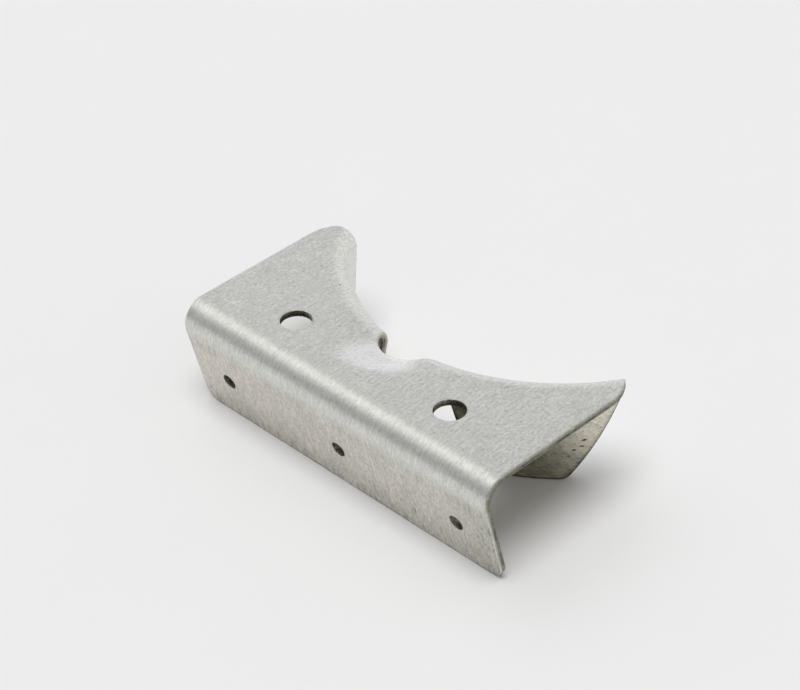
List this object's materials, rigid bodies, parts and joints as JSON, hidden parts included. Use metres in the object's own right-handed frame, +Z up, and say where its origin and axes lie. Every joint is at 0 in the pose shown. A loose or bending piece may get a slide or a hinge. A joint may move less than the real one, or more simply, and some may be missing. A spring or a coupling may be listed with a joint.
{
  "type": "formed sheet bracket",
  "caption": "Short formed channel bracket with a leaning front flange and a curved, relieved rear seat that bears on a round tube.",
  "frame": {"origin": "middle of the bounding box on the plane that the flange edges stand on", "axes": "+X along the bracket, +Y towards the curved seat, +Z up, square to the web"},
  "size_m": [0.0616, 0.032, 0.0187],
  "materials": {
    "aluminium": "mill finish sheet with a fine rolled grain"
  },
  "bodies": {
    "root": {"bracket_sheet": "aluminium"}
  },
  "joints": []
}
